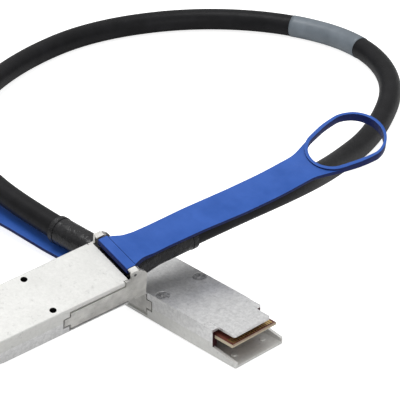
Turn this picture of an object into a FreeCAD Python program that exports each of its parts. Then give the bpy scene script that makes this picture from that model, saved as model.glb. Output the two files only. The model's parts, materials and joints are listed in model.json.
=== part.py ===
"""Direct attach copper cable: two quad small form factor connectors on one twinax cable.

Each connector is drawn in its own frame: X towards the card edge that plugs in, Y to the
left, Z up from the cover side to the hood side, with the origin at the rear edge of the
shells. Both connectors come from one function and are then laid down: end A on its nose
across end B, which lies hood down. The cable loops round between them on the table.
"""
import FreeCAD, Part
import math
import os
import re

import Sketcher
from FreeCAD import Placement, Rotation, Vector

SIZES = [
    # shells
    ("shell_width", 18.35), ("shell_height", 8.5), ("shell_length", 45.1), ("parting_height", 4.25),
    ("plate_thick", 1.0), ("rear_wall", 1.2), ("nose_wall", 0.9), ("pocket_wall", 0.55),
    ("boss_start", 20.6), ("boss_end", 26.2), ("boss_wall", 1.5), ("edge_round", 0.45),
    ("cover_inset", 0.15), ("cover_shoulder", 41.5), ("tongue_end", 51.2), ("tongue_inset", 2.275),
    ("tongue_thick", 0.8), ("tongue_round", 0.8), ("shoulder_round", 0.8),
    ("hood_end", 54.0), ("hood_step_depth", 3.1), ("hood_nose_depth", 2.0), ("hood_round", 0.6),
    ("nub_place", 49.6), ("nub_inset", 1.5), ("nub_radius", 0.8), ("nub_rise", 0.3),
    # screws
    ("screw_place", 23.5), ("screw_inboard", 2.225), ("screw_radius", 0.75), ("screw_head_radius", 2.0),
    ("screw_head_depth", 1.25), ("screw_length", 6.4), ("screw_inset", 0.08), ("screw_socket", 0.75),
    ("socket_depth", 0.7), ("screw_hole_radius", 0.95), ("thread_gap", 0.05),
    # paddle card and what it carries
    ("card_low", 2.07), ("card_thick", 1.0), ("card_side_gap", 0.065), ("card_tail_gap", 0.25),
    ("card_tail", 11.3), ("card_shoulder", 28.0), ("card_front", 52.1), ("card_bevel", 0.3),
    ("pad_count", 19), ("pad_pitch", 0.8), ("pad_width", 0.54), ("pad_length", 2.3),
    ("pad_thick", 0.05), ("pad_setback", 0.45), ("rail_gap", 0.05), ("rail_start", 30.0),
    ("rail_end", 44.0), ("rail_width", 1.81),
    ("chip_place", 33.0), ("chip_length", 3.0), ("chip_width", 4.4), ("chip_thick", 1.1),
    # copper pairs and ferrule
    ("pair_count", 4), ("pair_radius", 0.5), ("pair_pitch", 2.3), ("pair_bunch_pitch", 1.24),
    ("pair_end", 16.0), ("pair_bend", 9.0), ("pair_bunch_end", 4.0), ("pair_gap", 0.02),
    ("ferrule_bore", 2.55), ("ferrule_wall", 0.3), ("ferrule_flange", 0.3), ("ferrule_front", 2.6),
    ("flange_thick", 1.1), ("fit_gap", 0.05),
    # boot and cable
    ("axis_height", 4.25), ("cable_radius", 3.5), ("cable_gap", 0.1), ("jacket_start", -9.0),
    ("boot_inset", 1.975), ("boot_low", 1.25), ("boot_high", 8.0), ("boot_round", 1.6),
    ("boot_block_end", -2.6), ("boot_waist", -8.5), ("boot_waist_half", 5.2), ("boot_waist_round", 3.0),
    ("collar_start", -14.5), ("collar_end", -27.5), ("collar_radius", 4.05), ("rim_radius", 4.2),
    ("rim_length", 1.6),
    # latch slider
    ("slider_inset", 0.075), ("arm_thick", 0.75), ("arm_gap", 0.05), ("arm_low", 0.9), ("arm_high", 6.6),
    ("arm_end", 19.1), ("tip_end", 21.1), ("tip_low", 2.5), ("tip_high", 5.1), ("cheek_front", 1.0),
    ("cheek_top", 8.3), ("ear_front", -0.7), ("ear_back", -3.0), ("ear_top", 11.06),
    ("notch_place", -3.15), ("notch_low", 10.1), ("lug_front", -3.45), ("lug_top", 10.8),
    ("lug_back", -5.1), ("lug_low", 9.5), ("slider_back", -5.9), ("slider_low", 0.3),
    ("bridge_front", -2.4), ("bridge_thick", 0.6), ("flange_width", 1.9), ("flange_drop", 0.55),
    ("recess_gap", 0.45), ("slot_high", 7.4), ("recess_low", 0.4),
    # return spring and its pocket
    ("pocket_back", 4.0), ("pocket_front", 14.6), ("pocket_low", 4.55), ("pocket_high", 6.35),
    ("pocket_depth", 1.15), ("hook_back", 12.0), ("hook_length", 1.2), ("spring_gap", 0.1),
    ("spring_strip", 0.28), ("spring_folds", 6), ("spring_thick", 0.5),
    # pin and pull tab
    ("pin_place", -1.9), ("pin_height", 9.6), ("pin_radius", 0.42), ("pin_gap", 0.04),
    ("bar_side_gap", 0.4), ("bar_front", -0.6), ("bar_low", 8.75), ("bar_high", 10.75), ("bar_round", 0.5),
    ("groove_place", -3.8), ("groove_half", 0.22), ("groove_depth", 0.5),
    ("root_inset", 0.4), ("root_top", 10.6), ("root_crest", -5.0), ("root_end", -11.0),
    ("root_round", 6.0), ("neck_place", -7.5), ("neck_half", 5.05), ("neck_round", 7.0),
    ("waist_place", -16.0), ("waist_half", 4.85), ("waist_round", 20.0), ("strap_place", -42.0),
    ("strap_half", 5.2), ("strap_low", 8.7), ("strap_thick", 1.0), ("flare_start", -66.5),
    ("flare_end", -77.0), ("flare_half", 7.0), ("flare_round", 20.0),
    # how the strap dips towards the cable and lifts its ring away from it
    ("dip_start", -28.0), ("dip_place", -43.0), ("dip_low", 8.0), ("dip_round", 60.0),
    ("lift_start", -55.0), ("lift_slope", 0.087), ("lift_round", 90.0),
    ("ring_root", -69.4), ("ring_root_half", 5.45), ("ring_root_round", 6.5), ("ring_end", -96.6),
    ("ring_end_half", 11.3), ("ring_end_round", 8.9), ("ring_wall", 0.9), ("rim_rise", 0.4),
    ("ring_tall", 2.5), ("tab_drop", 0.7), ("cut_room", 1.0),
    # label sleeve on the cable
    ("label_start", 187.0), ("label_length", 30.0), ("label_thick", 0.15),
    # how the connectors lie: place, yaw, pitch and roll of each
    ("a_x", 32.485), ("a_y", -19.468), ("a_z", 12.19), ("a_yaw", -98.0), ("a_pitch", 4.64),
    ("a_roll", -14.54),
    ("b_x", 21.755), ("b_y", -4.328), ("b_z", 11.02), ("b_yaw", 0.0), ("b_pitch", 2.685),
    ("b_roll", 180.0),
]

# Half widths and the like that follow from the sizes above, so that the pieces stay together.
FOLLOWS = {
    "shell_half": "shell_width / 2",
    "card_half": "shell_half - nose_wall - card_side_gap",
    "card_tail_half": "boss_half - card_tail_gap",
    "rail_inner_half": "card_half - rail_width",
    "screw_side": "shell_half - screw_inboard",
    "boss_half": "screw_side - boss_wall",
    "tongue_half": "shell_half - tongue_inset",
    "nub_side": "tongue_half - nub_inset",
    "boot_half": "shell_half - boot_inset",
    "slider_half": "shell_half - slider_inset",
    "pocket_mouth_half": "slider_half - arm_thick - arm_gap",
    "cavity_rear_half": "pocket_mouth_half - pocket_depth - pocket_wall",
    "flange_half": "slider_half - flange_width",
    "bar_half": "flange_half - bar_side_gap",
    "root_half": "bar_half - root_inset",
    "ferrule_radius": "ferrule_bore + ferrule_wall",
}

# Where the cable's centre line bends on the table, between its straight starts in the boots.
LOOP = [
    (40.1, 47.3, 19.2), (26.9, 76.8, 9.5), (14.3, 107.1, 4.0), (-3.7, 137.6, 3.7),
    (-31.7, 151.6, 3.8), (-62.7, 146.1, 3.8), (-89.7, 126.6, 3.6), (-105.7, 97.6, 3.5),
    (-105.7, 67.6, 3.6), (-93.7, 37.6, 5.5), (-69.7, 11.6, 10.3), (-43.7, -1.6, 10.6),
]
FIRST_BEND = -38.0      # from end A's shells back to the first bend, along its axis
LAST_BEND = -37.0       # the same at end B

doc = FreeCAD.newDocument("direct_attach_cable")
sheet = doc.addObject("Spreadsheet::Sheet", "dims")
for row, (alias, value) in enumerate(SIZES, start=1):
    sheet.set(f"A{row}", alias.replace("_", " "))
    sheet.set(f"B{row}", str(value))
    sheet.setAlias(f"B{row}", alias)
doc.recompute()


def size(expression):
    """A number worked out from the sheet, such as size("shell_width / 2")."""
    return float(sheet.evalExpression(in_sheet(expression)))


def in_sheet(expression):
    """The expression with every bare word turned into a cell of the sheet, or into what it follows."""
    def cell(match):
        word = match.group(0)
        return f"({in_sheet(FOLLOWS[word])})" if word in FOLLOWS else "dims." + word
    return re.sub(r"[A-Za-z_]\w*(?!\w|\()", cell, str(expression))


# ---------------------------------------------------------------- sketches and features

def new_body(label, place):
    body = doc.addObject("PartDesign::Body", label)
    body.Label = label
    body.Placement = place
    return body


def sketch_on(body, plane, offset="0"):
    """A sketch on one of the body's own planes, moved along that plane's normal."""
    sketch = body.newObject("Sketcher::SketchObject", "profile")
    face = next(item for item in body.Origin.OriginFeatures if item.Role == plane)
    sketch.AttachmentSupport = [(face, "")]
    sketch.MapMode = "FlatFace"
    sketch.setExpression("AttachmentOffset.Base.z", in_sheet(offset))
    return sketch


def place_point(sketch, geometry, position, across, up):
    """Ties a point of the sketch to its two coordinates."""
    for kind, expression in (("DistanceX", across), ("DistanceY", up)):
        index = sketch.addConstraint(
            Sketcher.Constraint(kind, -1, 1, geometry, position, size(expression)))
        sketch.setExpression(f"Constraints[{index}]", in_sheet(expression))


def circle(sketch, across, up, radius):
    centre = Vector(size(across), size(up), 0)
    index = sketch.addGeometry(Part.Circle(centre, Vector(0, 0, 1), size(radius)), False)
    place_point(sketch, index, 3, across, up)
    tie = sketch.addConstraint(Sketcher.Constraint("Radius", index, size(radius)))
    sketch.setExpression(f"Constraints[{tie}]", in_sheet(radius))


def rounded_corner(before, corner, after, radius):
    """Where an arc of this radius leaves and meets the two sides at a corner, and its middle."""
    inward = (before - corner).normalize()
    outward = (after - corner).normalize()
    half = inward.getAngle(outward) / 2
    reach = radius / math.tan(half)
    middle = corner + (inward + outward).normalize() * (radius / math.sin(half))
    bulge = middle + (corner - middle).normalize() * radius
    return corner + inward * reach, bulge, corner + outward * reach


def outline(sketch, corners):
    """A closed outline of straight sides. A corner is (across, up) or (across, up, round)."""
    corners = [tuple(corner) + ("0",) * (3 - len(corner)) for corner in corners]
    count = len(corners)
    points = [Vector(size(across), size(up), 0) for across, up, _ in corners]
    radii = [size(radius) for _, _, radius in corners]
    ends = []
    for i, point in enumerate(points):
        if radii[i]:
            ends.append(rounded_corner(points[i - 1], point, points[(i + 1) % count], radii[i]))
        else:
            ends.append((point, point, point))
    sides = [
        sketch.addGeometry(Part.LineSegment(ends[i][2], ends[(i + 1) % count][0]), False)
        for i in range(count)
    ]
    for i, (across, up, radius) in enumerate(corners):
        arriving, leaving = sides[i - 1], sides[i]
        if not radii[i]:
            sketch.addConstraint(Sketcher.Constraint("Coincident", arriving, 2, leaving, 1))
            place_point(sketch, leaving, 1, across, up)
            continue
        arc = sketch.addGeometry(Part.Arc(*ends[i]), False)
        start = sketch.getPoint(arc, 1)
        first, last = (1, 2) if start.distanceToPoint(ends[i][0]) < 1e-6 else (2, 1)
        sketch.addConstraint(Sketcher.Constraint("Tangent", arriving, 2, arc, first))
        sketch.addConstraint(Sketcher.Constraint("Tangent", arc, last, leaving, 1))
        tie = sketch.addConstraint(Sketcher.Constraint("Radius", arc, radii[i]))
        sketch.setExpression(f"Constraints[{tie}]", in_sheet(radius))
        mark = sketch.addGeometry(Part.Point(points[i]), True)
        sketch.addConstraint(Sketcher.Constraint("PointOnObject", mark, 1, arriving))
        sketch.addConstraint(Sketcher.Constraint("PointOnObject", mark, 1, leaving))
        place_point(sketch, mark, 1, across, up)


def mirrored(half):
    """A whole outline from the corners of its +Y half, listed from front to back."""
    other = [(c[0], f"-({c[1]})") + tuple(c[2:]) for c in reversed(half)]
    return list(half) + other


def rectangle(low_across, high_across, low_up, high_up, radius="0"):
    return [
        (low_across, low_up, radius), (high_across, low_up, radius),
        (high_across, high_up, radius), (low_across, high_up, radius),
    ]


def pad(body, sketch, length, symmetric=False, reverse=False):
    """Material from a sketch, along the plane's normal, or both ways from it."""
    feature = body.newObject("PartDesign::Pad", "pad")
    feature.Profile = sketch
    feature.setExpression("Length", in_sheet(length))
    feature.Reversed = reverse
    if symmetric:
        feature.SideType = "Symmetric"
    doc.recompute()
    return feature


def cut(body, sketch, length=None, symmetric=False, reverse=False):
    """A pocket. With no length it goes through everything, both ways if symmetric."""
    before = body.Shape.Volume
    feature = body.newObject("PartDesign::Pocket", "pocket")
    feature.Profile = sketch
    if length is None:
        feature.Type = "ThroughAll"
    else:
        feature.setExpression("Length", in_sheet(length))
    feature.Reversed = reverse
    if symmetric:
        feature.SideType = "Symmetric"
    doc.recompute()
    if body.Shape.Volume > before - 1e-6:
        raise ValueError(f"{body.Label}: a pocket cuts nothing")
    return feature


def edges_that(shape, test):
    return [f"Edge{i}" for i, edge in enumerate(shape.Edges, start=1) if test(edge)]


def fillet(body, radius, test):
    """Rounds the edges of the body that pass the test."""
    base = body.Tip
    feature = body.newObject("PartDesign::Fillet", "fillet")
    feature.Base = (base, edges_that(base.Shape, test))
    feature.setExpression("Radius", in_sheet(radius))
    doc.recompute()
    return feature


def runs_along(edge, axis, tolerance=1e-4):
    """True for a straight edge along the axis."""
    if edge.Curve.TypeId != "Part::GeomLine":
        return False
    direction = edge.Vertexes[-1].Point - edge.Vertexes[0].Point
    return direction.cross(axis).Length < tolerance * direction.Length


def same(a, b):
    return math.isclose(a, b, abs_tol=1e-6)


X_AXIS, Y_AXIS, Z_AXIS = Vector(1, 0, 0), Vector(0, 1, 0), Vector(0, 0, 1)


# ---------------------------------------------------------------- cable paths

def tangent_path(points, share=0.45):
    """Straight runs joined by arcs, each as large as its two runs allow. Returns wire, radii."""
    edges, radii = [], []
    start = points[0]
    for before, corner, after in zip(points, points[1:], points[2:]):
        shorter = min((corner - before).Length, (after - corner).Length)
        turn = (corner - before).getAngle(after - corner)
        radius = share * shorter / math.tan(turn / 2)
        leave, bulge, meet = rounded_corner(before, corner, after, radius)
        edges.append(Part.LineSegment(start, leave).toShape())
        edges.append(Part.Arc(leave, bulge, meet).toShape())
        radii.append(radius)
        start = meet
    edges.append(Part.LineSegment(start, points[-1]).toShape())
    return Part.Wire(edges), radii


def stretch(path, start, length):
    """The piece of a path between two distances along it."""
    edges, passed = [], 0.0
    for edge in path.Edges:
        low = max(start - passed, 0.0)
        high = min(start + length - passed, edge.Length)
        if high - low > 1e-6:
            first, last = edge.getParameterByLength(low), edge.getParameterByLength(high)
            edges.append(edge.Curve.toShape(first, last))
        passed += edge.Length
    return Part.Wire(edges)


def tube(path, radius, bore=0.0, mitred=False):
    """A round solid swept along a path, hollow where it has a bore, sharp at mitred corners."""
    first = path.Edges[0]
    start = first.valueAt(first.FirstParameter)
    along = first.tangentAt(first.FirstParameter)
    corners = 1 if mitred else 0
    outer = Part.Wire(Part.makeCircle(radius, start, along))
    solid = path.makePipeShell([outer], True, False, corners)
    if bore:
        inner = Part.Wire(Part.makeCircle(bore, start, along))
        solid = solid.cut(path.makePipeShell([inner], True, False, corners))
    return solid


def shaped_piece(label, shape, place=Placement()):
    """A piece whose form comes from Part's own functions."""
    piece = doc.addObject("Part::Feature", label)
    piece.Label = label
    piece.Shape = shape
    piece.Placement = place
    return piece


# ---------------------------------------------------------------- the pieces of a connector

def arm_recess(body):
    """Sinks the latch slider's arms, their hook tips and the slot above them into both sides."""
    front = "arm_end + recess_gap"
    corners = [
        ("-rear_wall", "recess_low"), (front, "recess_low"), (front, "tip_low - recess_gap"),
        ("tip_end + recess_gap", "tip_low - recess_gap"), ("tip_end + recess_gap", "tip_high + recess_gap"),
        (front, "tip_high + recess_gap"), (front, "slot_high"),
        ("cheek_front + recess_gap", "slot_high"), ("cheek_front + recess_gap", "shell_height * 2"),
        ("-rear_wall", "shell_height * 2"),
    ]
    for side in (1, -1):
        sketch = sketch_on(body, "XZ_Plane", f"{-side} * shell_half")
        outline(sketch, corners)
        cut(body, sketch, "shell_half - pocket_mouth_half", reverse=side > 0)


def spring_pockets(body):
    """A pocket behind each arm for its return spring and the hook that presses on it."""
    for side in (1, -1):
        sketch = sketch_on(body, "XZ_Plane", f"{-side} * pocket_mouth_half")
        outline(sketch, rectangle("pocket_back", "pocket_front", "pocket_low", "pocket_high"))
        cut(body, sketch, "pocket_depth", reverse=side > 0)


def cavity(body, height, upward):
    """The hollow between the walls: wide round the card, with bosses beside its tail."""
    sketch = sketch_on(body, "XY_Plane", "parting_height")
    nose_half = "card_half + card_side_gap"
    half = [
        ("hood_end + rear_wall", nose_half), ("boss_end", nose_half), ("boss_end", "boss_half"),
        ("boss_start", "boss_half"), ("boss_start", "cavity_rear_half"),
        ("rear_wall", "cavity_rear_half"),
    ]
    outline(sketch, mirrored(half))
    cut(body, sketch, height, reverse=upward)


def wire_hole(body):
    """The round mouth in the rear wall that the ferrule passes through, and the seat of its flange."""
    sketch = sketch_on(body, "XY_Plane", "axis_height")
    mouth, seat = "ferrule_radius + fit_gap", "ferrule_radius + ferrule_flange + fit_gap"
    front = "ferrule_front + fit_gap"
    outline(sketch, [
        ("-rear_wall", "0"), (front, "0"), (front, seat), ("rear_wall", seat), ("rear_wall", mouth),
        ("-rear_wall", mouth),
    ])
    turned(body, sketch, None, "0", "PartDesign::Groove")


def card_rails(body, low, high):
    """The two rails that hold the card's edges."""
    sketch = sketch_on(body, "XY_Plane", low)
    for side in (1, -1):
        outline(sketch, rectangle(
            "rail_start", "rail_end", f"{side} * rail_inner_half", f"{side} * card_half"))
    pad(body, sketch, f"({high}) - ({low})")


def make_top_shell(label, place):
    """The cast half with the hood that reaches over the card edge."""
    body = new_body(label, place)
    side = sketch_on(body, "XZ_Plane")
    outline(side, [
        ("0", "parting_height"), ("shell_length", "parting_height"),
        ("shell_length", "shell_height - hood_step_depth"),
        ("hood_end", "shell_height - hood_nose_depth"), ("hood_end", "shell_height"),
        ("0", "shell_height"),
    ])
    pad(body, side, "shell_width", symmetric=True)
    nose, top = size("hood_end"), size("shell_height")
    fillet(body, "hood_round", lambda e: runs_along(e, Z_AXIS) and same(e.CenterOfMass.x, nose))
    fillet(body, "edge_round", lambda e: runs_along(e, X_AXIS) and same(e.CenterOfMass.z, top))
    cavity(body, "shell_height - parting_height - plate_thick", True)
    nubs = sketch_on(body, "XY_Plane", "shell_height - plate_thick - nub_rise")
    for sign in ("", "-"):
        circle(nubs, "nub_place", f"{sign}nub_side", "nub_radius")
    pad(body, nubs, "nub_rise + plate_thick / 2")
    card_rails(body, "card_low + card_thick + rail_gap", "shell_height - plate_thick / 2")
    holes = sketch_on(body, "XY_Plane", "shell_height + edge_round")
    for sign in ("", "-"):
        circle(holes, "screw_place", f"{sign}screw_side", "screw_hole_radius")
    cut(body, holes)
    wire_hole(body)
    arm_recess(body)
    spring_pockets(body)
    return body


def make_bottom_shell(label, place):
    """The cover half: a tray with a plate that runs on as a tongue under the card edge."""
    body = new_body(label, place)
    tray = sketch_on(body, "XZ_Plane")
    outline(tray, rectangle("0", "shell_length", "cover_inset", "parting_height"))
    pad(body, tray, "shell_width", symmetric=True)
    cavity(body, "parting_height - plate_thick", False)
    plate = sketch_on(body, "XY_Plane")
    outline(plate, mirrored([
        ("tongue_end", "tongue_half", "tongue_round"), ("cover_shoulder", "tongue_half"),
        ("cover_shoulder", "shell_half", "shoulder_round"), ("0", "shell_half"),
    ]))
    pad(body, plate, "tongue_thick")
    card_rails(body, "plate_thick / 2", "card_low")
    for side in (1, -1):
        sink = sketch_on(body, "XZ_Plane", f"{-side} * screw_side")
        outline(sink, [
            ("screw_place", "-screw_head_depth"),
            ("screw_place + screw_head_radius + thread_gap", "-screw_head_depth"),
            ("screw_place + screw_head_radius + thread_gap", "screw_inset"),
            ("screw_place + screw_radius + thread_gap", "screw_inset + screw_head_depth"),
            ("screw_place + screw_radius + thread_gap", "shell_height"),
            ("screw_place", "shell_height"),
        ])
        turned(body, sink, "screw_place", None, "PartDesign::Groove")
    wire_hole(body)
    arm_recess(body)
    return body


def turned(body, sketch, across, up, kind="PartDesign::Revolution"):
    """A full turn of the sketch about the upright line at across, or the level line at up."""
    if up is None:
        low, high = Vector(size(across), 0, 0), Vector(size(across), 1, 0)
    else:
        low, high = Vector(0, size(up), 0), Vector(1, size(up), 0)
    line = sketch.addGeometry(Part.LineSegment(low, high), True)
    for position, end in ((1, low), (2, high)):
        if up is None:
            place_point(sketch, line, position, across, str(end.y))
        else:
            place_point(sketch, line, position, str(end.x), up)
    before = body.Shape.Volume if body.Tip else 0.0
    feature = body.newObject(kind, "turn")
    feature.Profile = sketch
    feature.ReferenceAxis = (sketch, ["Axis0"])
    feature.Angle = 360
    doc.recompute()
    if abs(body.Shape.Volume - before) < 1e-6:
        raise ValueError(f"{body.Label}: a turned feature changes nothing")
    return feature


def make_shell_screws(label, place):
    """Two countersunk screws, up through the cover into the cast half."""
    body = new_body(label, place)
    half = sketch_on(body, "XZ_Plane", "-screw_side")
    outline(half, [
        ("screw_place", "screw_inset"), ("screw_place + screw_head_radius", "screw_inset"),
        ("screw_place + screw_radius", "screw_inset + screw_head_depth"),
        ("screw_place + screw_radius", "screw_length"), ("screw_place", "screw_length"),
    ])
    shank = turned(body, half, "screw_place", None)
    socket = sketch_on(body, "XY_Plane", "screw_inset")
    outline(socket, [
        (f"screw_place + screw_socket * {math.cos(math.radians(60 * k)):.6f}",
         f"screw_side + screw_socket * {math.sin(math.radians(60 * k)):.6f}") for k in range(6)
    ])
    drive = cut(body, socket, "socket_depth", reverse=True)
    pattern = body.newObject("PartDesign::Mirrored", "pair")
    pattern.Originals = [shank, drive]
    pattern.MirrorPlane = (next(f for f in body.Origin.OriginFeatures if f.Role == "XZ_Plane"), [""])
    body.Tip = pattern
    doc.recompute()
    return body


def make_paddle_card(label, place):
    """The circuit board: a narrow tail between the bosses and a wide bevelled card edge."""
    body = new_body(label, place)
    sketch = sketch_on(body, "XY_Plane", "card_low")
    outline(sketch, mirrored([
        ("card_front", "card_half"), ("card_shoulder", "card_half"),
        ("card_shoulder", "card_tail_half"), ("card_tail", "card_tail_half"),
    ]))
    pad(body, sketch, "card_thick")
    board, front = body.Tip, size("card_front")
    names = edges_that(board.Shape, lambda e: runs_along(e, Y_AXIS) and same(e.CenterOfMass.x, front))
    bevel = body.newObject("PartDesign::Chamfer", "bevel")
    bevel.Base = (board, names)
    bevel.setExpression("Size", in_sheet("card_bevel"))
    doc.recompute()
    return body


def make_card_contacts(label, place):
    """The gold pads along the card edge, one row on each face."""
    body = new_body(label, place)
    rows = []
    for low in ("card_low + card_thick", "card_low - pad_thick"):
        sketch = sketch_on(body, "XY_Plane", low)
        start = "-(pad_count - 1) * pad_pitch / 2"
        front = "card_front - card_bevel - pad_setback"
        outline(sketch, rectangle(
            f"{front} - pad_length", front, f"{start} - pad_width / 2", f"{start} + pad_width / 2"))
        rows.append(pad(body, sketch, "pad_thick"))
    pattern = body.newObject("PartDesign::LinearPattern", "row")
    pattern.Originals = rows
    pattern.Direction = (next(f for f in body.Origin.OriginFeatures if f.Role == "Y_Axis"), [""])
    pattern.Mode = "Spacing"
    pattern.setExpression("Offset", in_sheet("pad_pitch"))
    pattern.setExpression("Occurrences", in_sheet("pad_count"))
    body.Tip = pattern
    doc.recompute()
    return body


def make_memory_chip(label, place):
    """The small memory package on the card."""
    body = new_body(label, place)
    sketch = sketch_on(body, "XY_Plane", "card_low + card_thick")
    outline(sketch, rectangle(
        "chip_place", "chip_place + chip_length", "-chip_width / 2", "chip_width / 2"))
    pad(body, sketch, "chip_thick")
    return body


def make_wire_pairs(label, place):
    """Shielded pairs, bunched in the ferrule and fanned out onto both faces of the card."""
    count = int(size("pair_count"))
    rows = (
        (1, "card_low + card_thick + pair_radius + pair_gap"),
        (-1, "card_low - pair_radius - pair_gap"),
    )
    wires = []
    for side, landing in rows:
        bunch_z = size(f"axis_height + {side} * pair_bunch_pitch / 2")
        for k in range(count):
            step = k - (count - 1) / 2
            bunch_y, spread_y = step * size("pair_bunch_pitch"), step * size("pair_pitch")
            path = Part.makePolygon([
                Vector(size("jacket_start"), bunch_y, bunch_z),
                Vector(size("pair_bunch_end"), bunch_y, bunch_z),
                Vector(size("pair_bend"), spread_y, size(landing)),
                Vector(size("pair_end"), spread_y, size(landing)),
            ])
            wires.append(tube(path, size("pair_radius"), mitred=True))
    return shaped_piece(label, Part.makeCompound(wires), place)


def make_crimp_ferrule(label, place):
    """The crimped sleeve round the shield, with a flange caught behind the rear wall."""
    body = new_body(label, place)
    inner = "axis_height + ferrule_bore"
    outer = "axis_height + ferrule_radius"
    back = "rear_wall + fit_gap"
    sketch = sketch_on(body, "XZ_Plane")
    outline(sketch, [
        ("jacket_start", inner), ("ferrule_front", inner), ("ferrule_front", outer),
        (f"{back} + flange_thick", outer), (f"{back} + flange_thick", f"{outer} + ferrule_flange"),
        (back, f"{outer} + ferrule_flange"), (back, outer), ("jacket_start", outer),
    ])
    turned(body, sketch, None, "axis_height")
    return body


def make_strain_relief(label, place):
    """The moulded boot: a block against the shells that draws in to a round collar."""
    body = new_body(label, place)
    block = sketch_on(body, "YZ_Plane")
    outline(block, rectangle("-boot_half", "boot_half", "boot_low", "boot_high", "boot_round"))
    pad(body, block, "-boot_block_end", reverse=True)
    sections = (
        ("boot_block_end", "boot_half", "boot_low", "boot_high", "boot_round"),
        ("boot_waist", "boot_waist_half", "boot_low", "boot_high", "boot_waist_round"),
        ("collar_start", "collar_radius", "axis_height - collar_radius", "axis_height + collar_radius",
         "collar_radius * 0.98"),
    )
    sketches = []
    for offset, half, low, high, radius in sections:
        sketch = sketch_on(body, "YZ_Plane", offset)
        outline(sketch, rectangle(f"-{half}", half, low, high, radius))
        sketches.append(sketch)
    loft = body.newObject("PartDesign::AdditiveLoft", "shoulder")
    loft.Profile = sketches[0]
    loft.Sections = sketches[1:]
    loft.Ruled = True
    doc.recompute()
    collar = sketch_on(body, "YZ_Plane", "collar_start")
    circle(collar, "0", "axis_height", "collar_radius")
    pad(body, collar, "collar_start - collar_end", reverse=True)
    rim = sketch_on(body, "YZ_Plane", "collar_end")
    circle(rim, "0", "axis_height", "rim_radius")
    pad(body, rim, "rim_length")
    front_bore = sketch_on(body, "YZ_Plane", "0")
    circle(front_bore, "0", "axis_height", "ferrule_radius + fit_gap")
    cut(body, front_bore, "-jacket_start")
    bore = sketch_on(body, "YZ_Plane", "jacket_start")
    circle(bore, "0", "axis_height", "cable_radius + cable_gap")
    cut(body, bore)
    return body


def make_latch_slider(label, place):
    """The sprung steel latch: an arm along each side, ears over the top and a bridge below."""
    body = new_body(label, place)
    side = sketch_on(body, "XZ_Plane")
    outline(side, [
        ("tip_end", "tip_low"), ("tip_end", "tip_high"), ("arm_end", "tip_high"), ("arm_end", "arm_high"),
        ("cheek_front", "arm_high"), ("cheek_front", "cheek_top"), ("ear_front", "cheek_top"),
        ("ear_front", "ear_top"), ("ear_back", "ear_top"), ("notch_place", "notch_low"),
        ("lug_front", "lug_top"), ("lug_back", "lug_low"), ("slider_back", "cheek_top"),
        ("slider_back", "slider_low"), ("bridge_front", "slider_low"), ("bridge_front", "arm_low"),
        ("arm_end", "arm_low"), ("arm_end", "tip_low"),
    ])
    pad(body, side, "slider_half * 2", symmetric=True)
    between = sketch_on(body, "YZ_Plane")
    outline(between, rectangle(
        "-(slider_half - arm_thick)", "slider_half - arm_thick",
        "slider_low + bridge_thick", "ear_top - flange_drop"))
    cut(body, between, symmetric=True)
    above = sketch_on(body, "YZ_Plane")
    outline(above, rectangle("-flange_half", "flange_half", "slider_low + bridge_thick", "ear_top * 2"))
    cut(body, above, symmetric=True)
    hooks = sketch_on(body, "XZ_Plane")
    outline(hooks, rectangle(
        "hook_back", "hook_back + hook_length", "pocket_low + spring_gap", "pocket_high - spring_gap"))
    pad(body, hooks, "slider_half * 2 - arm_thick", symmetric=True)
    clear = sketch_on(body, "YZ_Plane")
    reach = "pocket_mouth_half - pocket_depth + spring_gap"
    outline(clear, rectangle(f"-({reach})", reach, "slider_low + bridge_thick", "ear_top * 2"))
    cut(body, clear, symmetric=True)
    pin_hole = sketch_on(body, "XZ_Plane")
    circle(pin_hole, "pin_place", "pin_height", "pin_radius + pin_gap")
    cut(body, pin_hole, symmetric=True)
    return body


def make_return_springs(label, place):
    """Two flat serpentine springs, one behind each arm, between the pocket and the hook."""
    body = new_body(label, place)
    low, high = "(pocket_low + spring_gap)", "(pocket_high - spring_gap)"
    back, front = "(pocket_back + spring_gap)", "(hook_back - spring_gap)"
    outer = "(pocket_mouth_half - (pocket_depth - spring_thick) / 2)"
    strip = sketch_on(body, "XZ_Plane")
    outline(strip, rectangle(back, front, low, high))
    pad(body, strip, f"{outer} * 2", symmetric=True)
    slots = sketch_on(body, "XZ_Plane")
    folds = int(size("spring_folds"))
    pitch = f"(({front} - {back} - spring_strip) / {folds})"
    for k in range(folds):
        start = f"{back} + spring_strip + {k} * {pitch}"
        ends = (low, f"{high} - spring_strip") if k % 2 else (f"{low} + spring_strip", high)
        outline(slots, rectangle(start, f"{start} + {pitch} - spring_strip", *ends))
    cut(body, slots, symmetric=True)
    middle = sketch_on(body, "YZ_Plane")
    inner = f"({outer} - spring_thick)"
    outline(middle, rectangle(f"-{inner}", inner, "0", "shell_height"))
    cut(body, middle, symmetric=True)
    return body


def make_tab_pin(label, place):
    """The pin through both ears that the pull tab turns on."""
    body = new_body(label, place)
    sketch = sketch_on(body, "XZ_Plane")
    circle(sketch, "pin_place", "pin_height", "pin_radius")
    pad(body, sketch, "slider_half * 2", symmetric=True)
    return body


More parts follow.
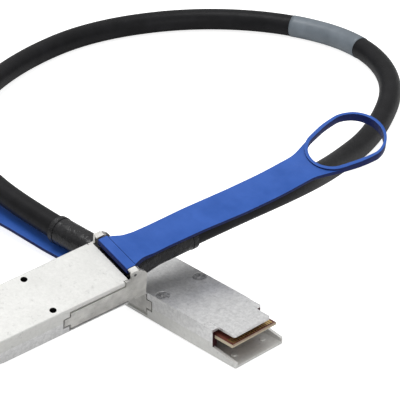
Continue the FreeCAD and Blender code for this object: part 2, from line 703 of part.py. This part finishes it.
def make_pull_tab(label, place):
    """The soft pull tab: a bar on the pin, a waisted, bowed strap and a lifted finger ring."""
    body = new_body(label, place)
    bottom, ceiling = "(dip_low - cut_room)", "(bar_high * 2)"
    strap = sketch_on(body, "XY_Plane", bottom)
    outline(strap, mirrored([
        ("groove_place", "root_half"), ("neck_place", "neck_half", "neck_round"),
        ("waist_place", "waist_half", "waist_round"), ("strap_place", "strap_half"),
        ("flare_start", "strap_half", "flare_round"), ("flare_end", "flare_half"),
    ]))
    pad(body, strap, f"{ceiling} - {bottom}")
    over_strap = sketch_on(body, "XZ_Plane")
    outline(over_strap, [
        ("0", "root_top"), ("root_crest", "root_top"),
        ("root_end", "strap_low + strap_thick", "root_round"),
        ("dip_start", "strap_low + strap_thick", "dip_round"),
        ("dip_place", "dip_low + strap_thick", "dip_round"),
        ("lift_start", "dip_low + strap_thick", "lift_round"),
        ("ring_end", "dip_low + strap_thick + lift_slope * (lift_start - ring_end)"),
        ("ring_end", ceiling + " * 2"), ("0", ceiling + " * 2"),
    ])
    cut(body, over_strap, symmetric=True)
    ring = sketch_on(body, "XY_Plane", bottom)
    outline(ring, mirrored([
        ("ring_root", "ring_root_half", "ring_root_round"), ("ring_end", "ring_end_half", "ring_end_round"),
    ]))
    pad(body, ring, f"{ceiling} - {bottom}")
    opening = sketch_on(body, "XY_Plane", ceiling)
    outline(opening, mirrored([
        ("ring_root - ring_wall", "ring_root_half - ring_wall", "ring_root_round - ring_wall"),
        ("ring_end + ring_wall", "ring_end_half - ring_wall", "ring_end_round - ring_wall"),
    ]))
    cut(body, opening)
    over_ring = sketch_on(body, "XZ_Plane")
    near, far = "(ring_root + ring_wall)", "(ring_end - ring_wall)"
    outline(over_ring, [
        (near, f"dip_low + strap_thick + rim_rise + lift_slope * (lift_start - {near})"),
        (far, f"dip_low + ring_tall + lift_slope * (lift_start - {far})"),
        (far, ceiling + " * 2"), (near, ceiling + " * 2"),
    ])
    cut(body, over_ring, symmetric=True)
    underside = sketch_on(body, "XZ_Plane")
    outline(underside, [
        ("0", "strap_low"), ("dip_start", "strap_low", "dip_round"), ("dip_place", "dip_low", "dip_round"),
        ("lift_start", "dip_low", "lift_round"), (far, f"dip_low + lift_slope * (lift_start - {far})"),
        (far, "0"), ("0", "0"),
    ])
    cut(body, underside, symmetric=True)
    bar = sketch_on(body, "XZ_Plane")
    outline(bar, [
        ("bar_front", "bar_low", "bar_round"), ("bar_front", "bar_high", "bar_round"),
        ("groove_place + groove_half", "bar_high"), ("groove_place", "bar_high - groove_depth"),
        ("groove_place", "bar_low"),
    ])
    pad(body, bar, "bar_half * 2", symmetric=True)
    pin_hole = sketch_on(body, "XZ_Plane")
    circle(pin_hole, "pin_place", "pin_height", "pin_radius + pin_gap")
    cut(body, pin_hole, symmetric=True)
    return body


# ---------------------------------------------------------------- the whole cable

def lying(end):
    """Where a connector lies: its place on the table and how it is turned."""
    place = [size(f"{end}_{axis}") for axis in "xyz"]
    turn = [size(f"{end}_{angle}") for angle in ("yaw", "pitch", "roll")]
    return Placement(Vector(*place), Rotation(*turn))


def hinged(place, angle):
    """The placement after a turn about the tab's pin, lifting the tab off the cable."""
    pin = Vector(size("pin_place"), 0, size("pin_height"))
    turn = Placement(Vector(), Rotation(Y_AXIS, angle), pin)
    return place.multiply(turn)


MAKERS = {
    "top_shell": make_top_shell, "bottom_shell": make_bottom_shell, "shell_screws": make_shell_screws,
    "paddle_card": make_paddle_card, "card_contacts": make_card_contacts, "memory_chip": make_memory_chip,
    "wire_pairs": make_wire_pairs, "crimp_ferrule": make_crimp_ferrule,
    "strain_relief": make_strain_relief, "latch_slider": make_latch_slider,
    "return_springs": make_return_springs, "tab_pin": make_tab_pin,
}
pieces = []
for end in ("a", "b"):
    place = lying(end)
    for name, maker in MAKERS.items():
        pieces.append(maker(f"end_{end}_{name}", place))
    tilt = size("tab_drop") if end == "b" else 0.0
    pieces.append(make_pull_tab(f"end_{end}_pull_tab", hinged(place, tilt)))


def on_axis(end, along):
    """A point on a connector's cable axis."""
    return lying(end).multVec(Vector(along, 0, size("axis_height")))


route = (
    [on_axis("a", size("jacket_start")), on_axis("a", FIRST_BEND)]
    + [Vector(*point) for point in LOOP]
    + [on_axis("b", LAST_BEND), on_axis("b", size("jacket_start"))]
)
path, radii = tangent_path(route)
print("bend radii", [round(radius, 1) for radius in radii])
print("run lengths", [round((q - p).Length, 1) for p, q in zip(route, route[1:])])
print("route", [tuple(round(c, 2) for c in point) for point in route])
jacket = tube(path, size("cable_radius"))
expected = math.pi * size("cable_radius") ** 2 * path.Length
print(f"cable {path.Length:.1f} mm, volume {jacket.Volume:.0f} of {expected:.0f}")
pieces.append(shaped_piece("cable_jacket", jacket))
wrap = stretch(path, size("label_start"), size("label_length"))
pieces.append(shaped_piece("cable_label", tube(
    wrap, size("cable_radius + fit_gap + label_thick"), size("cable_radius + fit_gap"))))

doc.recompute()
for item in doc.Objects:
    if "Invalid" in item.State or "Error" in item.State:
        raise ValueError(f"{item.Label} failed: {item.State}")
for piece in pieces:
    if piece.Shape.isNull() or not piece.Shape.isValid():
        raise ValueError(f"{piece.Label} has no valid shape")

os.makedirs("parts", exist_ok=True)
for piece in pieces:
    piece.Shape.exportStep(f"parts/{piece.Label}.step")
    box = piece.Shape.BoundBox
    print(f"{piece.Label:24s} solids {len(piece.Shape.Solids):3d} volume {piece.Shape.Volume:9.2f}  "
          f"z {box.ZMin:7.2f} {box.ZMax:7.2f}")
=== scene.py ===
"""Looks of a direct attach copper cable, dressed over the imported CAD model."""
import json
import math

import bmesh
import bpy
from mathutils import Matrix, Quaternion, Vector


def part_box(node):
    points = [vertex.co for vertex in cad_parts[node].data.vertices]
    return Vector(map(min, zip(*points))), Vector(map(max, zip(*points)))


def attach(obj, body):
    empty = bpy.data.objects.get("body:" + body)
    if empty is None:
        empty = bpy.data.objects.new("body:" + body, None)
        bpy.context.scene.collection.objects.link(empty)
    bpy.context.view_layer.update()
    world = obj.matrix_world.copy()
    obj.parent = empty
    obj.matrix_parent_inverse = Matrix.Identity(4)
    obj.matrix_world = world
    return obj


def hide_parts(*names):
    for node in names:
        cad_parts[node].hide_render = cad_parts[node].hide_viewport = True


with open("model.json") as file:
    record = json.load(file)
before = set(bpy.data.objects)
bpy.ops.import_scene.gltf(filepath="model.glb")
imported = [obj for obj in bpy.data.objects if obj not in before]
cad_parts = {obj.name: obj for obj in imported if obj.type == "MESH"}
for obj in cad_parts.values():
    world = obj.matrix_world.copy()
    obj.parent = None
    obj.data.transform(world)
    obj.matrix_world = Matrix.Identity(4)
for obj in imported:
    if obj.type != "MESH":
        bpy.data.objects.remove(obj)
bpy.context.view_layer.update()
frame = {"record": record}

MM = 0.001


# ---------------------------------------------------------------- camera

def make_camera():
    """The photographer's place: in front of end B's nose side, well back with a long lens."""
    azimuth, elevation, roll = (math.radians(angle) for angle in (46.7365, 28.825, -1.827))
    aim = Vector((19.678, 27.809, 14.315)) * MM
    distance = 775.486 * MM
    back = Vector((
        math.sin(azimuth) * math.cos(elevation),
        -math.cos(azimuth) * math.cos(elevation),
        math.sin(elevation)))
    data = bpy.data.cameras.new("camera")
    data.sensor_width = 36.0
    data.lens = 242.91
    data.clip_start, data.clip_end = 0.01, 20.0
    camera = bpy.data.objects.new("camera", data)
    camera.location = aim + back * distance
    turn = (-back).to_track_quat("-Z", "Y") @ Quaternion((0, 0, 1), roll)
    camera.rotation_mode = "QUATERNION"
    camera.rotation_quaternion = turn
    bpy.context.scene.collection.objects.link(camera)
    bpy.context.scene.camera = camera


make_camera()


# ---------------------------------------------------------------- materials

class Finish:
    """A procedural material, built up node by node on a Principled shader."""

    def __init__(self, name, roughness=0.5, metallic=0.0, sheen=0.5):
        self.material = bpy.data.materials.new(name)
        self.material.use_nodes = True
        self.nodes, self.links = self.material.node_tree.nodes, self.material.node_tree.links
        self.shader = self.nodes["Principled BSDF"]
        self.shader.inputs["Roughness"].default_value = roughness
        self.shader.inputs["Metallic"].default_value = metallic
        self.shader.inputs["Specular IOR Level"].default_value = sheen

    def places(self, stretch=(1, 1, 1), turn=0.0):
        """Places on the object, turned about the upright and stretched along its axes."""
        spot = self.nodes.new("ShaderNodeTexCoord")
        mapping = self.nodes.new("ShaderNodeMapping")
        mapping.vector_type = "TEXTURE"
        mapping.inputs["Rotation"].default_value = (0, 0, turn)
        mapping.inputs["Scale"].default_value = stretch
        self.links.new(spot.outputs["Object"], mapping.inputs["Vector"])
        return mapping.outputs["Vector"]

    def noise(self, places, grain_mm, detail=3.0, roughness=0.55):
        """Cloudy noise whose patches are about grain_mm across."""
        node = self.nodes.new("ShaderNodeTexNoise")
        node.inputs["Scale"].default_value = 1000.0 / grain_mm
        node.inputs["Detail"].default_value = detail
        node.inputs["Roughness"].default_value = roughness
        self.links.new(places, node.inputs["Vector"])
        return node.outputs["Fac"]

    def span(self, value, low, high, start=0.0, end=1.0):
        """The value spread from low..high to start..end, held at both ends."""
        node = self.nodes.new("ShaderNodeMapRange")
        node.inputs["From Min"].default_value, node.inputs["From Max"].default_value = low, high
        node.inputs["To Min"].default_value, node.inputs["To Max"].default_value = start, end
        self.links.new(value, node.inputs["Value"])
        return node.outputs["Result"]

    def blend(self, share, first, second):
        """One colour to another by share; each is a colour or a socket."""
        node = self.nodes.new("ShaderNodeMix")
        node.data_type = "RGBA"
        self.links.new(share, node.inputs["Factor"])
        for socket, colour in ((node.inputs[6], first), (node.inputs[7], second)):
            if isinstance(colour, tuple):
                socket.default_value = (*colour, 1.0)
            else:
                self.links.new(colour, socket)
        return node.outputs[2]

    def product(self, first, *others):
        """Several shares multiplied together."""
        for other in others:
            node = self.nodes.new("ShaderNodeMath")
            node.operation = "MULTIPLY"
            self.links.new(first, node.inputs[0])
            self.links.new(other, node.inputs[1])
            first = node.outputs[0]
        return first

    def along(self, place, axis, both_ways=False):
        """How far a spot lies from a place along an axis, in millimetres."""
        spot = self.nodes.new("ShaderNodeTexCoord")
        dot = self.nodes.new("ShaderNodeVectorMath")
        dot.operation = "DOT_PRODUCT"
        dot.inputs[1].default_value = axis / MM
        shift = self.nodes.new("ShaderNodeMath")
        shift.inputs[1].default_value = -place.dot(axis) / MM
        self.links.new(spot.outputs["Object"], dot.inputs[0])
        self.links.new(dot.outputs["Value"], shift.inputs[0])
        if not both_ways:
            return shift.outputs[0]
        size = self.nodes.new("ShaderNodeMath")
        size.operation = "ABSOLUTE"
        self.links.new(shift.outputs[0], size.inputs[0])
        return size.outputs[0]

    def from_axis(self, place, axis):
        """How far a spot lies from a line through a place, in metres."""
        spot = self.nodes.new("ShaderNodeTexCoord")
        gap, turned, size = (self.nodes.new("ShaderNodeVectorMath") for _ in range(3))
        gap.operation, turned.operation, size.operation = "SUBTRACT", "CROSS_PRODUCT", "LENGTH"
        gap.inputs[1].default_value, turned.inputs[1].default_value = place, axis
        self.links.new(spot.outputs["Object"], gap.inputs[0])
        self.links.new(gap.outputs[0], turned.inputs[0])
        self.links.new(turned.outputs[0], size.inputs[0])
        return size.outputs["Value"]

    def sideways(self):
        """0 on level faces, 1 on upright ones."""
        normal = self.nodes.new("ShaderNodeNewGeometry")
        parts = self.nodes.new("ShaderNodeSeparateXYZ")
        size = self.nodes.new("ShaderNodeMath")
        size.operation = "ABSOLUTE"
        self.links.new(normal.outputs["Normal"], parts.inputs[0])
        self.links.new(parts.outputs["Z"], size.inputs[0])
        return self.span(size.outputs[0], 0.45, 0.9, 1.0, 0.0)

    def colour(self, socket):
        """Takes the base colour from this socket."""
        self.links.new(socket, self.shader.inputs["Base Color"])

    def roughness(self, socket):
        """Takes the roughness from this socket."""
        self.links.new(socket, self.shader.inputs["Roughness"])

    def relief(self, height, depth_mm, strength):
        """Fine relief of this depth, too small to be built."""
        node = self.nodes.new("ShaderNodeBump")
        node.inputs["Strength"].default_value = strength
        node.inputs["Distance"].default_value = depth_mm * MM
        self.links.new(height, node.inputs["Height"])
        self.links.new(node.outputs["Normal"], self.shader.inputs["Normal"])


# The space behind the card mouth, in a connector's own millimetres, where the shell's inside gets painted
# shade in dark red with a painted reddish reflection of the board.
INSIDE_SHADE_LENGTH, INSIDE_SHADE_HALF_WIDTH, INSIDE_SHADE_HEIGHT = (27.5, 45.25), 9.05, (0.88, 7.465)
SCREW_HOLE_RADIUS = 0.98
PAINTED_SHADE_RED, PAINTED_HOLE_SHADE = (0.045, 0.006, 0.012), (0.01, 0.01, 0.01)


def cast_metal(name, one, bright, dull, roughness, metallic):
    """Satin plated die casting: fine blasted mottle outside, painted shade in dark red inside behind the
    card mouth, and painted shade in the screw holes.
    """
    finish = Finish(name, metallic=metallic)
    spots = finish.places()
    cloud = finish.noise(spots, 9.0, 4.0)
    grain = finish.noise(spots, 0.6, 2.0, 0.6)
    mottle = finish.noise(spots, 1.1, 4.0, 0.75)
    speck = finish.noise(spots, 1.7, 5.0, 0.7)
    body = finish.blend(finish.span(mottle, 0.36, 0.64), bright, dull)
    body = finish.blend(finish.span(cloud, 0.45, 0.75, 0.0, 0.5), body, dull)
    dark = tuple(0.55 * part for part in dull)
    body = finish.blend(finish.span(speck, 0.58, 0.74, 0.0, 0.5), body, dark)
    x, y, z = (one.axes.col[index] for index in range(3))
    forward, height = finish.along(one.place, x), finish.along(one.place, z)
    across = finish.along(one.place, y, both_ways=True)
    # painted shade: the shell's inside behind the card mouth is coloured dark red, standing in for shade
    # there with the board's reddish reflection
    inside = finish.product(
        finish.span(forward, INSIDE_SHADE_LENGTH[1] + 0.05, INSIDE_SHADE_LENGTH[1] - 0.05),
        finish.span(forward, INSIDE_SHADE_LENGTH[0] - 0.5, INSIDE_SHADE_LENGTH[0] + 0.5),
        finish.span(across, INSIDE_SHADE_HALF_WIDTH + 0.05, INSIDE_SHADE_HALF_WIDTH - 0.05),
        finish.span(height, INSIDE_SHADE_HEIGHT[0] - 0.02, INSIDE_SHADE_HEIGHT[0] + 0.02),
        finish.span(height, INSIDE_SHADE_HEIGHT[1] + 0.015, INSIDE_SHADE_HEIGHT[1] - 0.015))
    body = finish.blend(inside, body, PAINTED_SHADE_RED)
    # painted shade: the screw holes through the casting are coloured near black within their radius
    for side in (-one.SCREW_SIDE, one.SCREW_SIDE):
        centre = one.place + one.axes @ Vector((one.SCREW_PLACE, side, 0.0)) * MM
        hole = finish.span(
            finish.from_axis(centre, z), (SCREW_HOLE_RADIUS + 0.01) * MM, (SCREW_HOLE_RADIUS - 0.01) * MM)
        body = finish.blend(hole, body, PAINTED_HOLE_SHADE)
    finish.colour(body)
    finish.roughness(finish.span(cloud, 0.3, 0.7, roughness, roughness + 0.14))
    finish.relief(grain, 0.05, 0.5)
    return finish.material


def brushed_metal(name, colour, turn):
    """Stamped sheet with long brush marks along the part, which lies turned on the table."""
    finish = Finish(name, metallic=0.9)
    marks = finish.noise(finish.places((9.0, 0.35, 0.35), turn), 0.8, 4.0, 0.65)
    cloud = finish.noise(finish.places(), 5.0, 3.0)
    dull = tuple(0.62 * part for part in colour)
    finish.colour(finish.blend(finish.span(cloud, 0.35, 0.7), colour, dull))
    finish.roughness(finish.span(marks, 0.3, 0.7, 0.25, 0.45))
    finish.relief(marks, 0.02, 0.5)
    return finish.material


def plain_metal(name, colour, roughness):
    """Small plated metal parts, slightly uneven in brightness."""
    finish = Finish(name, metallic=0.95)
    cloud = finish.noise(finish.places(), 1.4, 4.0)
    dull = tuple(0.55 * part for part in colour)
    finish.colour(finish.blend(finish.span(cloud, 0.4, 0.75), colour, dull))
    finish.roughness(finish.span(cloud, 0.3, 0.7, roughness, roughness + 0.15))
    finish.relief(cloud, 0.02, 0.4)
    return finish.material


def screw_metal(name, one):
    """Screw heads plated as the cover is, and painted shade, near black, on the shanks down their holes.
    """
    finish = Finish(name, roughness=0.3, metallic=0.8)
    cloud = finish.noise(finish.places(), 0.8, 4.0, 0.7)
    head = finish.blend(finish.span(cloud, 0.4, 0.6), (0.84, 0.84, 0.84), (0.40, 0.40, 0.41))
    height = finish.along(one.place, one.axes.col[2])
    shank_start, shank_full = 2.0, 3.0
    # painted shade: the shank turns near black from 2 to 3 mm up the screw, down its hole
    finish.colour(finish.blend(finish.span(height, shank_start, shank_full), head, (0.012, 0.012, 0.012)))
    finish.relief(cloud, 0.04, 0.6)
    return finish.material


def soft_blue():
    """Satin royal-blue elastomer with a faint moulded grain, and painted shade in deep navy on its
    upright faces.
    """
    finish = Finish("tab_soft_blue", sheen=0.2)
    spots = finish.places()
    cloud = finish.noise(spots, 7.0, 3.0)
    grain = finish.noise(spots, 0.35, 3.0, 0.6)
    face = finish.blend(finish.span(cloud, 0.3, 0.7), (0.040, 0.125, 0.48), (0.025, 0.096, 0.40))
    # painted shade: upright faces are coloured deep navy, level faces royal blue
    finish.colour(finish.blend(finish.sideways(), face, (0.003, 0.011, 0.085)))
    finish.roughness(finish.span(grain, 0.3, 0.7, 0.4, 0.56))
    finish.relief(grain, 0.03, 0.4)
    return finish.material


def black_rubber(name, tone, grain_mm, depth_mm, roughness, sheen=0.16):
    """Black moulded or extruded rubber or epoxy, with fine grain and dusty highlights."""
    finish = Finish(name, sheen=sheen)
    spots = finish.places()
    cloud = finish.noise(spots, 6.0, 4.0)
    grain = finish.noise(spots, grain_mm, 3.0, 0.7)
    worn = tuple(1.9 * part for part in tone)
    finish.colour(finish.blend(finish.span(cloud, 0.4, 0.75), tone, worn))
    finish.roughness(finish.span(grain, 0.3, 0.7, roughness - 0.08, roughness + 0.1))
    finish.relief(grain, depth_mm, 0.7)
    return finish.material


def printed_board():
    """Dark red-brown solder mask with faint tracks, and the pale laminate at the cut edges."""
    finish = Finish("card_board", roughness=0.35)
    tracks = finish.noise(finish.places((6.0, 0.5, 1.0)), 0.8, 2.0)
    weave = finish.noise(finish.places(), 0.3, 2.0)
    mask = finish.blend(finish.span(tracks, 0.42, 0.58), (0.085, 0.022, 0.018), (0.15, 0.045, 0.03))
    finish.colour(finish.blend(finish.sideways(), mask, (0.50, 0.43, 0.31)))
    finish.relief(weave, 0.02, 0.4)
    return finish.material


def label_film():
    """Pale grey-blue wrapped film, blank, with soft wrinkles."""
    finish = Finish("label_film")
    spots = finish.places()
    cloud = finish.noise(spots, 5.0, 3.0)
    wrinkle = finish.noise(finish.places((1.0, 3.0, 1.0)), 2.2, 3.0)
    finish.colour(finish.blend(finish.span(cloud, 0.3, 0.7), (0.175, 0.205, 0.235), (0.13, 0.155, 0.18)))
    finish.roughness(finish.span(wrinkle, 0.3, 0.7, 0.28, 0.45))
    finish.relief(wrinkle, 0.08, 0.5)
    return finish.material


def dress(finish, *endings):
    """Gives the material to the CAD nodes with these names."""
    for name in endings:
        node = bpy.data.objects[name]
        for index in range(len(node.material_slots)):
            node.material_slots[index].material = finish


MOUNTS = {mount["name"]: mount for mount in frame["record"]["mounts"]}


class Connector:
    """One end's own axes: x towards its card edge, z out of its hood face, y to its left."""

    HOOD_SPOT = Vector((33.0, 0.0, 8.5))    # the hood face mount, in these axes
    SCREW_PLACE, SCREW_SIDE = 23.5, 6.95
    PIN_SPOT = Vector((-1.9, 0.0, 9.6))

    def __init__(self, end, tab_tilt):
        hood, card = MOUNTS[f"end_{end}_hood_face"], MOUNTS[f"end_{end}_card_edge"]
        z, x = Vector(hood["axis"]).normalized(), Vector(card["axis"]).normalized()
        y = z.cross(x)
        self.end = end
        self.axes = Matrix((x, y, z)).transposed()
        self.place = Vector(hood["pos_m"]) - self.axes @ self.HOOD_SPOT * MM
        self.heading = math.atan2(x.y, x.x)
        self.tab_tilt = tab_tilt


TAB_DROP = math.radians(0.7)    # end B's tab hangs this far towards the table
ENDS = [Connector("a", 0.0), Connector("b", TAB_DROP)]

board, gold = printed_board(), plain_metal("gold_pads", (0.86, 0.62, 0.26), 0.22)
pins = plain_metal("pin_steel", (0.16, 0.16, 0.165), 0.35)
chip = black_rubber("chip_epoxy", (0.02, 0.02, 0.022), 0.2, 0.01, 0.5)
foil = plain_metal("pair_foil", (0.72, 0.72, 0.74), 0.3)
crimp = plain_metal("ferrule_plating", (0.66, 0.56, 0.36), 0.3)
springs = plain_metal("spring_strip", (0.5, 0.5, 0.51), 0.28)
boot_black = black_rubber("boot_rubber", (0.004, 0.004, 0.005), 2.6, 0.6, 0.27, 0.4)
jacket_black = black_rubber("jacket_rubber", (0.006, 0.006, 0.007), 0.45, 0.08, 0.42)
tab_blue, pale_label = soft_blue(), label_film()

for one in ENDS:
    node = f"end_{one.end}_{{}}".format
    steel = brushed_metal(f"latch_sheet_{one.end}", (0.76, 0.75, 0.72), one.heading)
    dress(cast_metal(f"cast_hood_{one.end}", one, (0.74, 0.74, 0.72), (0.67, 0.67, 0.65), 0.46, 0.55),
          node("top_shell"))
    dress(cast_metal(f"cast_cover_{one.end}", one, (0.88, 0.88, 0.88), (0.66, 0.66, 0.66), 0.30, 0.75),
          node("bottom_shell"))
    dress(steel, node("latch_slider"))
    dress(pins, node("tab_pin"))
    dress(screw_metal(f"screw_plating_{one.end}", one), node("shell_screws"))
    dress(board, node("paddle_card"))
    dress(gold, node("card_contacts"))
    dress(chip, node("memory_chip"))
    dress(foil, node("wire_pairs"))
    dress(crimp, node("crimp_ferrule"))
    dress(springs, node("return_springs"))
    dress(boot_black, node("strain_relief"))
dress(pale_label, "cable_label")


# ---------------------------------------------------------------- the pull tabs

# The plain strap's sizes, in millimetres back from its connector's rear.
RING_START, RING_END = 70, 96.6
STRAP_UNDERSIDE, LIFT_START, LIFT_SLOPE = 8.0, 55.0, 0.087


def smooth(value, low, high):
    """0 below low, 1 above high, with soft ends."""
    share = min(max((value - low) / (high - low), 0.0), 1.0)
    return share * share * (3 - 2 * share)


def eased(x, y, z):
    """The soft tab's own form: a rounder, slightly shorter and deeper ring than the plain solid."""
    back = -x
    growth = 0.15 if y > 0 else 0.21
    wider = 1.0 + growth * smooth(back, 66.0, 76.0) * (1.0 - smooth(back, 79.0, 91.5))
    shorter = 2.6 * smooth(back, 82.0, RING_END)
    underside = STRAP_UNDERSIDE + LIFT_SLOPE * max(back - LIFT_START, 0.0)
    deeper = 0.35 * smooth(back, 64.0, 78.0) * (1.0 - smooth(z - underside, 0.3, 1.4))
    return x + shorter, y * wider, z - deeper


def pull_tab(one):
    """The solid's form with its edges softened and its ring eased, as one smooth piece."""
    mesh = bpy.data.objects[f"end_{one.end}_pull_tab"].data.copy()
    form = bmesh.new()
    form.from_mesh(mesh)
    bmesh.ops.remove_doubles(form, verts=form.verts, dist=0.001 * MM)
    pin = Matrix.Translation(one.PIN_SPOT * MM)
    lift = pin @ Matrix.Rotation(one.tab_tilt, 4, "Y") @ pin.inverted()
    lying = Matrix.Translation(one.place) @ one.axes.to_4x4() @ lift
    form.transform(lying.inverted())
    for station in range(RING_START, int(RING_END)):    # rows of corners for the easing to move
        bmesh.ops.bisect_plane(
            form, geom=form.verts[:] + form.edges[:] + form.faces[:], dist=0.001 * MM,
            plane_co=(-station * MM, 0, 0), plane_no=(1, 0, 0))
    for vertex in form.verts:
        vertex.co = Vector(eased(*(vertex.co / MM))) * MM
    form.transform(lying)
    bmesh.ops.dissolve_limit(
        form, angle_limit=math.radians(1.5), verts=form.verts, edges=form.edges, delimit=set())
    form.to_mesh(mesh)
    form.free()
    for face in mesh.polygons:
        face.use_smooth = True
    mesh.materials.clear()
    mesh.materials.append(tab_blue)
    tab = bpy.data.objects.new(f"tab_{one.end}_soft", mesh)
    bpy.context.scene.collection.objects.link(tab)
    bevel = tab.modifiers.new("soft_edges", "BEVEL")
    bevel.width = 0.16 * MM
    bevel.segments = 3
    bevel.limit_method = "ANGLE"
    bevel.angle_limit = math.radians(35)
    bevel.harden_normals = True
    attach(tab, f"tab_{one.end}")
    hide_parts(f"end_{one.end}_pull_tab")


for one in ENDS:
    pull_tab(one)


# ---------------------------------------------------------------- the cable

CABLE_RADIUS = 3.5 * MM
ROUTE = [
    (34.74, -11.06, 17.02), (38.77, 17.56, 19.36), (40.6, 47.3, 19.2), (27.3, 76.8, 9.5),
    (15.2, 107.1, 4.0), (-3.7, 137.6, 3.7), (-31.7, 151.6, 3.8), (-62.7, 146.1, 3.8),
    (-89.7, 126.6, 3.6), (-105.7, 97.6, 3.5), (-105.7, 67.6, 3.6), (-93.7, 37.6, 5.5),
    (-69.7, 11.6, 10.3), (-43.7, -1.6, 10.6), (-15.4, -4.33, 8.51), (12.57, -4.33, 7.2),
]


def cable_curve(name, radius, resolution):
    """A smooth curve with the route's points as its control points; a radius of 0 gives a bare line."""
    data = bpy.data.curves.new(name, "CURVE")
    data.dimensions = "3D"
    data.resolution_u = resolution
    data.bevel_depth = radius
    data.bevel_resolution = 12
    data.use_fill_caps = True
    line = data.splines.new("NURBS")
    line.points.add(len(ROUTE) - 1)
    for point, place in zip(line.points, ROUTE):
        point.co = (*(Vector(place) * MM), 1.0)
    line.order_u = 3
    line.use_endpoint_u = True
    piece = bpy.data.objects.new(name, data)
    bpy.context.scene.collection.objects.link(piece)
    return piece


def measured_line():
    """The points of the cable's own centre line."""
    probe = cable_curve("probe", 0.0, 24)
    mesh = bpy.data.meshes.new_from_object(probe)
    points = [vertex.co.copy() for vertex in mesh.vertices]
    bpy.data.meshes.remove(mesh)
    bpy.data.objects.remove(probe)
    return points


jacket = cable_curve("cable", CABLE_RADIUS, 16)
jacket.data.materials.append(jacket_black)
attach(jacket, "root")
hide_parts("cable_jacket")
LINE = measured_line()


def sleeve(name, points, radii, finish):
    """A thin sleeve round the cable: one ring of points for each place on its line."""
    form = bmesh.new()
    around, rows = 48, []
    for index, (point, radius) in enumerate(zip(points, radii)):
        ahead = points[min(index + 1, len(points) - 1)] - points[max(index - 1, 0)]
        across = ahead.cross(Vector((0, 0, 1))).normalized()
        up = across.cross(ahead).normalized()
        turns = [2 * math.pi * step / around for step in range(around)]
        rows.append([form.verts.new(
            point + (across * math.cos(turn) + up * math.sin(turn)) * radius) for turn in turns])
    for row, after in zip(rows, rows[1:]):
        for step in range(around):
            following = (step + 1) % around
            form.faces.new((row[step], row[following], after[following], after[step]))
    mesh = bpy.data.meshes.new(name)
    form.to_mesh(mesh)
    form.free()
    for face in mesh.polygons:
        face.use_smooth = True
    mesh.materials.append(finish)
    piece = bpy.data.objects.new(name, mesh)
    bpy.context.scene.collection.objects.link(piece)
    return piece


def make_label():
    """The blank label sleeve, wrapped on the far side of the loop, its ends tucked into the jacket."""
    low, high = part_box("cable_label")
    points = [point for point in LINE if low[0] + MM < point.x < high[0] - MM and point.y > low[1] - MM]
    outer, tucked = CABLE_RADIUS + 0.12 * MM, CABLE_RADIUS - 0.1 * MM
    radii = [tucked] + [outer] * len(points) + [tucked]
    label = sleeve("label", [points[0]] + points + [points[-1]], radii, pale_label)
    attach(label, "root")
    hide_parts("cable_label")
    return label


make_label()


# ---------------------------------------------------------------- floor and light

def make_floor():
    """Pale paper that shows as white to the camera and a little brighter in gloss."""
    bpy.ops.mesh.primitive_plane_add(size=6.0, location=(0, 0, 0))
    floor = bpy.context.object
    floor.name = "floor"
    material = bpy.data.materials.new("floor_paper")
    material.use_nodes = True
    nodes, links = material.node_tree.nodes, material.node_tree.links
    nodes.clear()
    out = nodes.new("ShaderNodeOutputMaterial")
    paper = nodes.new("ShaderNodeBsdfDiffuse")
    paper.inputs["Color"].default_value = (0.72, 0.72, 0.72, 1)
    white = nodes.new("ShaderNodeEmission")
    white.inputs["Strength"].default_value = 0.8
    mix = nodes.new("ShaderNodeMixShader")
    path, seen = nodes.new("ShaderNodeLightPath"), nodes.new("ShaderNodeMath")
    seen.operation = "MULTIPLY_ADD"
    seen.inputs[1].default_value = 0.06
    links.new(path.outputs["Is Glossy Ray"], seen.inputs[0])
    links.new(path.outputs["Is Camera Ray"], seen.inputs[2])
    links.new(seen.outputs[0], mix.inputs["Fac"])
    add = nodes.new("ShaderNodeAddShader")
    links.new(paper.outputs[0], add.inputs[0])
    links.new(white.outputs[0], add.inputs[1])
    links.new(paper.outputs[0], mix.inputs[1])
    links.new(add.outputs[0], mix.inputs[2])
    links.new(mix.outputs[0], out.inputs["Surface"])
    floor.data.materials.append(material)


def make_sky():
    """Soft light from all round, brighter overhead than near the floor."""
    world = bpy.data.worlds.new("studio")
    bpy.context.scene.world = world
    world.use_nodes = True
    nodes, links = world.node_tree.nodes, world.node_tree.links
    background = nodes["Background"]
    background.inputs["Color"].default_value = (1, 1, 1, 1)
    direction, parts = nodes.new("ShaderNodeTexCoord"), nodes.new("ShaderNodeSeparateXYZ")
    height = nodes.new("ShaderNodeMapRange")
    height.inputs["From Min"].default_value, height.inputs["From Max"].default_value = 0.2, 0.5
    height.inputs["To Min"].default_value, height.inputs["To Max"].default_value = 0.28, 0.74
    links.new(direction.outputs["Generated"], parts.inputs[0])
    links.new(parts.outputs["Z"], height.inputs["Value"])
    links.new(height.outputs["Result"], background.inputs["Strength"])


def area_light(name, place, size, power):
    """A round soft lamp that points at the object."""
    data = bpy.data.lights.new(name, "AREA")
    data.shape = "DISK"
    data.size = size
    data.energy = power
    lamp = bpy.data.objects.new(name, data)
    lamp.location = place
    lamp.rotation_mode = "QUATERNION"
    lamp.rotation_quaternion = (Vector((0, 0, 0)) - Vector(place)).to_track_quat("-Z", "Y")
    bpy.context.scene.collection.objects.link(lamp)


make_floor()
make_sky()
area_light("key", (-0.4, -0.05, 1.5), 0.8, 9.0)
area_light("fill", (1.2, -0.9, 0.45), 0.9, 5.0)
bpy.context.scene.view_settings.view_transform = "Standard"
